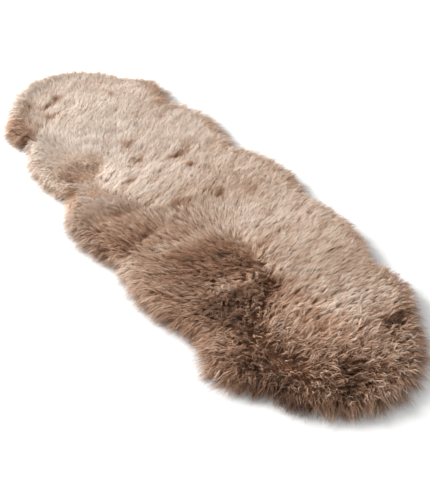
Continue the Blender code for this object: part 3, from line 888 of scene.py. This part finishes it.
def rimLocks(draw):
    x, y, ux, uy, walked = rimPlaces(rimWool["step"])
    count = len(x)
    away, reach = rimReach(y, ux, uy)
    rough = woolRoughness(x, y) * rimWool["roughest"]
    found = []
    for tier, (rootHeight, share, tipShare) in enumerate(rimWool["tiers"]):
        shift = rimWool["tuftShift"][0] * wobble(x, y, 0.11, 41) + rimWool["tuftShift"][1] * tier
        phase = 2 * math.pi * walked / rimWool["tuft"] + shift
        turns = np.radians(fromTo(rimWool["turns"], rough))
        turn = -rimWool["gathers"] * np.sin(phase) + draw.normal(0, 1, count) * turns
        hx, hy = turned(ux, uy, turn + rimWool["sway"] * wobble(x, y, 0.07, 42))
        back = rimWool["back"][0] + draw.uniform(0, rimWool["back"][1], count) * (1 + tier)
        along = draw.uniform(-0.5, 0.5, count) * rimWool["step"]
        rootX = x - ux * back - uy * along
        rootY = y - uy * back + ux * along
        middle = np.cos(phase)
        past = reach * share * (1 + rimWool["tuftReach"] * middle)
        past = past * (1 + draw.normal(*rimWool["reaches"], count))
        lay = past + back
        tip = rimHeight(-past / reach, away) * tipShare
        tip = tip * (1 + draw.uniform(-rimWool["tips"], rimWool["tips"], count)) + 2 * strandMake["lowest"]
        root = np.full(count, rootHeight)
        bulge = np.maximum(root, tip) + fromTo(rimWool["bulge"], away)
        # tone with painted light on the tufts' middles and painted shade between them
        uneven = draw.normal(0, rimWool["tones"], count) + rimWool["tuftLightAndShade"] * middle - rimWool["darker"]
        found.append({
            "root": np.stack([rootX, rootY, root], 1),
            "heading": np.stack([hx, hy], 1),
            "lay": lay,
            "heights": np.stack([bulge, bulge, tip], 1),
            "rough": rough,
            "tone": woolToneAndShade(rootX + hx * lay, rootY + hy * lay) + uneven,
        })
    return {key: np.concatenate([part[key] for part in found]) for key in found[0]}


def dressRim():
    draw = np.random.default_rng(rimWool["seed"])
    locks = rimLocks(draw)
    far = locks["root"][:, 1] > rug["seamY"]
    make = (rimWool["strands"], rimWool["rings"])
    growPieces(locks, (("farRimLocks", far, *make), ("nearRimLocks", ~far, *make)), draw, rimWool)


dressWool()
dressRim()
print("wool grown")

# Undercoat and hides come from one cut of a grid along the hide's edge.


def editAll(piece):
    deselectAll()
    piece.select_set(True)
    bpy.context.view_layer.objects.active = piece
    bpy.ops.object.mode_set(mode="EDIT")
    bpy.ops.mesh.select_all(action="SELECT")


def leaveEdit():
    bpy.ops.object.mode_set(mode="OBJECT")


def cutGrid(name, low, high, cell, inFrom):
    deselectAll()
    middle = ((low[0] + high[0]) / 2, (low[1] + high[1]) / 2, 0)
    columns = round((high[0] - low[0]) / cell)
    rows = round((high[1] - low[1]) / cell)
    bpy.ops.mesh.primitive_grid_add(x_subdivisions=columns, y_subdivisions=rows, size=1, location=middle)
    piece = bpy.context.object
    piece.name = name
    piece.data.name = name
    piece.scale = (high[0] - low[0], high[1] - low[1], 1)
    bpy.ops.object.transform_apply(location=True, rotation=False, scale=True)
    places = np.array([v.co for v in piece.data.vertices])
    ux, uy, inset = seenFromSpine(places[:, 0], places[:, 1])
    inset = inset - inFrom
    editAll(piece)
    bpy.ops.mesh.select_mode(type="VERT")
    bpy.ops.mesh.select_all(action="DESELECT")
    leaveEdit()
    atSeam = np.abs(places[:, 1] - rug["seamY"]) < cell / 2
    for vertex, depth, x, y, stays in zip(piece.data.vertices, inset, ux, uy, atSeam):
        vertex.select = bool(depth < -cell * 0.5)
        if abs(depth) <= cell * 0.5:  # the cut edge runs smoothly along the outline
            vertex.co.x += x * depth
            vertex.co.y += 0 if stays else y * depth
    bpy.ops.object.mode_set(mode="EDIT")
    bpy.ops.mesh.delete(type="VERT")
    leaveEdit()
    return piece


def extrudeUp(piece, rise):
    editAll(piece)
    bpy.ops.mesh.extrude_region_move(TRANSFORM_OT_translate={"value": (0, 0, rise)})
    leaveEdit()


def faceOutwards(piece):
    editAll(piece)
    bpy.ops.mesh.normals_make_consistent(inside=False)
    leaveEdit()
    bpy.ops.object.shade_smooth_by_angle(angle=math.radians(40))


pelts = (
    ("far", (cadLow.x, rug["seamY"] + rug["skinGap"]), (cadHigh.x, cadHigh.y)),
    ("near", (cadLow.x, cadLow.y), (cadHigh.x, rug["seamY"] - rug["skinGap"])),
)

undercoat = {
    "cell": 0.012,
    "inFrom": 0.004,
    "depth": (0.0095, 0.0135),  # how far under the wool's tips it ends, and what roughness adds
    "floor": 0.0030,
    "rise": 0.020,
    "thinnest": 0.002,
    "slopes": (-0.012, 0.030),  # in from the edge
    # painted shade between the locks: the undercoat is darker and warmer than the wool over it, and its
    # tufts' ramp darkens it further
    "darker": 0.10,
    "warmer": 0.10,
    "tuftScale": 190,
    "tuftsAndShade": ((0.30, (0.26, 0.21, 0.175)), (0.72, (0.58, 0.485, 0.42))),
    "roughness": 0.95,
}


def makeUndercoat(name, low, high):
    piece = cutGrid(name, low, high, undercoat["cell"], undercoat["inFrom"])
    extrudeUp(piece, undercoat["rise"])
    x, y = np.array([v.co for v in piece.data.vertices]).T[:2]
    ux, uy, inset = seenFromSpine(x, y)
    tops = woolTop(x, y, ux, uy, inset) - fromTo(undercoat["depth"], woolRoughness(x, y))
    tops = tops * smoothStep(inset, *undercoat["slopes"])
    tops = np.maximum(tops, undercoat["floor"] + undercoat["thinnest"])
    for vertex, top in zip(piece.data.vertices, tops):
        vertex.co.z = top if vertex.co.z > undercoat["rise"] / 2 else undercoat["floor"]
    faceOutwards(piece)
    layer = piece.data.color_attributes.new(name="toneAndHue", type="FLOAT_COLOR", domain="POINT")
    # painted shade: darker in pits, and darker and warmer all over, as shade between the locks
    tone = np.clip(woolToneAndShade(x, y) - strandMake["pitShade"] * pitShare(x, y), 0, 1)
    hue = woolHue(x, y, tone) - undercoat["warmer"]
    tone = np.maximum(tone - undercoat["darker"], 0)
    values = np.stack([tone, hue, tone, np.ones_like(tone)], 1)
    layer.data.foreach_set("color", values.astype(np.float32).ravel())
    return piece


def makeUndercoatMaterial():
    material, nodes, links, shader = newMaterial("undercoatWool")
    tuft = addTexture(nodes, links, "ShaderNodeTexNoise", undercoat["tuftScale"])
    tuft.inputs["Detail"].default_value = 4
    place = nodes.new("ShaderNodeAttribute")
    place.attribute_name = "toneAndHue"
    color = woolColor(nodes, links, place.outputs["Vector"])
    # painted shade: the tufts' ramp multiplies the colour down
    shades = addRamp(nodes, links, tuft.outputs["Fac"], undercoat["tuftsAndShade"])
    links.new(multiply(nodes, links, color, shades), shader.inputs["Base Color"])
    addBump(nodes, links, tuft.outputs["Fac"], shader, 0.7, 0.004)
    shader.inputs["Roughness"].default_value = undercoat["roughness"]
    shader.inputs["Specular IOR Level"].default_value = woolLook["specular"]
    return material


undercoatMaterial = makeUndercoatMaterial()
for end, low, high in pelts:
    piece = makeUndercoat(end + "Undercoat", low, high)
    piece.data.materials.append(undercoatMaterial)
    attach(piece, "root")
    print(piece.name, triangleCount(piece), "triangles")

# Hides: the skins themselves, flesh side down, each cut to its half of the outline.

hide = {
    "cell": 0.016,
    "color": ((0.30, (0.47, 0.37, 0.28)), (0.70, (0.62, 0.52, 0.42))),
    "grainScale": 900,
    "patchScale": 14,
    "roughness": 0.93,
    "sheen": 0.2,
}


def makeHide(name, low, high):
    piece = cutGrid(name, low, high, hide["cell"], 0)
    editAll(piece)
    bpy.ops.transform.translate(value=(0, 0, rug["threadRoom"]))
    leaveEdit()
    area = sum(p.area for p in piece.data.polygons)
    extrudeUp(piece, rug["hideThickness"])
    faceOutwards(piece)
    return piece, area


def makeSuedeMaterial():
    material, nodes, links, shader = newMaterial("suede")
    patches = addTexture(nodes, links, "ShaderNodeTexNoise", hide["patchScale"])
    patches.inputs["Detail"].default_value = 6
    patches.inputs["Roughness"].default_value = 0.65
    grain = addTexture(nodes, links, "ShaderNodeTexNoise", hide["grainScale"])
    grain.inputs["Detail"].default_value = 3
    links.new(addRamp(nodes, links, patches.outputs["Fac"], hide["color"]), shader.inputs["Base Color"])
    addBump(nodes, links, grain.outputs["Fac"], shader, 0.5, 0.0006)
    shader.inputs["Roughness"].default_value = hide["roughness"]
    shader.inputs["Sheen Weight"].default_value = hide["sheen"]
    return material


suedeMaterial = makeSuedeMaterial()
hides = {}
for end, low, high in pelts:
    piece, area = makeHide(end + "Hide", low, high)
    piece.data.materials.append(suedeMaterial)
    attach(piece, "root")
    hides[end] = (piece, area)
    print(piece.name, triangleCount(piece), "triangles", round(area, 4), "square metres")

# Furrier's seam: overcast stitches that join the two hides on the flesh side.

seam = {
    "pitch": 0.0045,
    "bite": 0.0035,  # from the edge to the needle's hole
    "slant": 0.0022,
    "thread": 0.00030,  # radius
    "sewnFrom": 0.006,  # in from the edge
    "twistScale": 500,
    "color": (0.50, 0.42, 0.34),
}


def makeSeam():
    edge = np.linspace(cadLow.x, cadHigh.x, 2000)
    inset = seenFromSpine(edge, np.full_like(edge, rug["seamY"]))[2]
    sewn = edge[inset > seam["sewnFrom"]]
    deselectAll()
    start = (sewn[0], rug["seamY"], rug["threadRoom"] / 2)
    run = 2 * seam["bite"]
    bpy.ops.mesh.primitive_cylinder_add(
        vertices=6, radius=seam["thread"], depth=run, location=start, rotation=(math.pi / 2, 0, 0)
    )
    piece = bpy.context.object
    piece.name = "seamStitches"
    piece.data.name = "seamStitches"
    bpy.ops.object.transform_apply(location=False, rotation=True, scale=False)
    for cut in (seam["bite"] * 0.6, -seam["bite"] * 0.6):
        editAll(piece)
        bpy.ops.mesh.bisect(plane_co=(start[0], start[1] + cut, start[2]), plane_no=(0, 1, 0))
    leaveEdit()
    for vertex in piece.data.vertices:  # slanted, with ends that go up into the holes
        share = vertex.co.y / seam["bite"]
        vertex.co.x += seam["slant"] * share
        vertex.co.z += rug["threadRoom"] * max(abs(share) - 0.7, 0) * 2.2
    array = piece.modifiers.new("stitches", "ARRAY")
    array.use_relative_offset = False
    array.use_constant_offset = True
    array.constant_offset_displace = (seam["pitch"], 0, 0)
    array.count = int((sewn[-1] - sewn[0]) / seam["pitch"])
    bpy.ops.object.modifier_apply(modifier=array.name)
    bpy.ops.object.transform_apply(location=True, rotation=False, scale=False)
    bpy.ops.object.shade_smooth_by_angle(angle=math.radians(50))
    return piece


def makeThreadMaterial():
    material, nodes, links, shader = newMaterial("seamThread")
    twist = addTexture(nodes, links, "ShaderNodeTexWave", seam["twistScale"])
    twist.bands_direction = "DIAGONAL"
    stops = ((0.0, tuple(c * 0.6 for c in seam["color"])), (0.6, seam["color"]))
    links.new(addRamp(nodes, links, twist.outputs["Fac"], stops), shader.inputs["Base Color"])
    shader.inputs["Roughness"].default_value = 0.7
    return material


stitches = makeSeam()
stitches.data.materials.append(makeThreadMaterial())
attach(stitches, "root")
print("seam sewn,", triangleCount(stitches), "triangles")

for end, (piece, area) in hides.items():
    low = Vector(piece.bound_box[0])
    high = Vector(piece.bound_box[6])

# Floor, light and camera

studio = {
    "eye": (-0.972, -1.727, 1.347),
    "pitch": 37,
    "turn": -32,
    "lens": 62.45,  # with the 36 mm of the frame's long side
    "floor": 12,
    "airStrength": 1.00,
    "windowPlace": (-1.9, 2.8, 2.6),
    "windowSize": 1.6,
    "windowPower": 370,
    "windowColor": (1, 0.99, 0.97),
    "floorColor": (0.60, 0.60, 0.60, 1),
}


def setCamera():
    bpy.ops.object.camera_add(location=studio["eye"])
    camera = bpy.context.object
    camera.name = "photoCamera"
    camera.rotation_euler = (math.radians(90 - studio["pitch"]), 0, math.radians(studio["turn"]))
    camera.data.lens = studio["lens"]
    camera.data.sensor_width = 36
    bpy.context.scene.camera = camera


def setLight():
    bpy.ops.object.light_add(type="AREA", location=studio["windowPlace"])
    light = bpy.context.object
    light.name = "windowLight"
    light.data.shape = "DISK"
    light.data.size = studio["windowSize"]
    light.data.energy = studio["windowPower"]
    light.data.color = studio["windowColor"]
    light.rotation_euler = (-Vector(studio["windowPlace"])).to_track_quat("-Z", "Y").to_euler()
    world = bpy.data.worlds.new("studioAir")
    bpy.context.scene.world = world
    world.use_nodes = True
    air = world.node_tree.nodes["Background"]
    air.inputs["Color"].default_value = (1, 1, 1, 1)
    air.inputs["Strength"].default_value = studio["airStrength"]


def setFloor():
    deselectAll()
    bpy.ops.mesh.primitive_plane_add(size=studio["floor"], location=(0, 0, 0))
    floor = bpy.context.object
    floor.name = "studioFloor"
    material, nodes, links, shader = newMaterial("studioFloorPaint")
    shader.inputs["Base Color"].default_value = studio["floorColor"]
    shader.inputs["Roughness"].default_value = 0.9
    shader.inputs["Specular IOR Level"].default_value = 0.1
    floor.data.materials.append(material)


setCamera()
setFloor()
setLight()
bpy.context.scene.view_settings.view_transform = "Standard"
bpy.context.scene.view_settings.look = "None"
print("studio set")
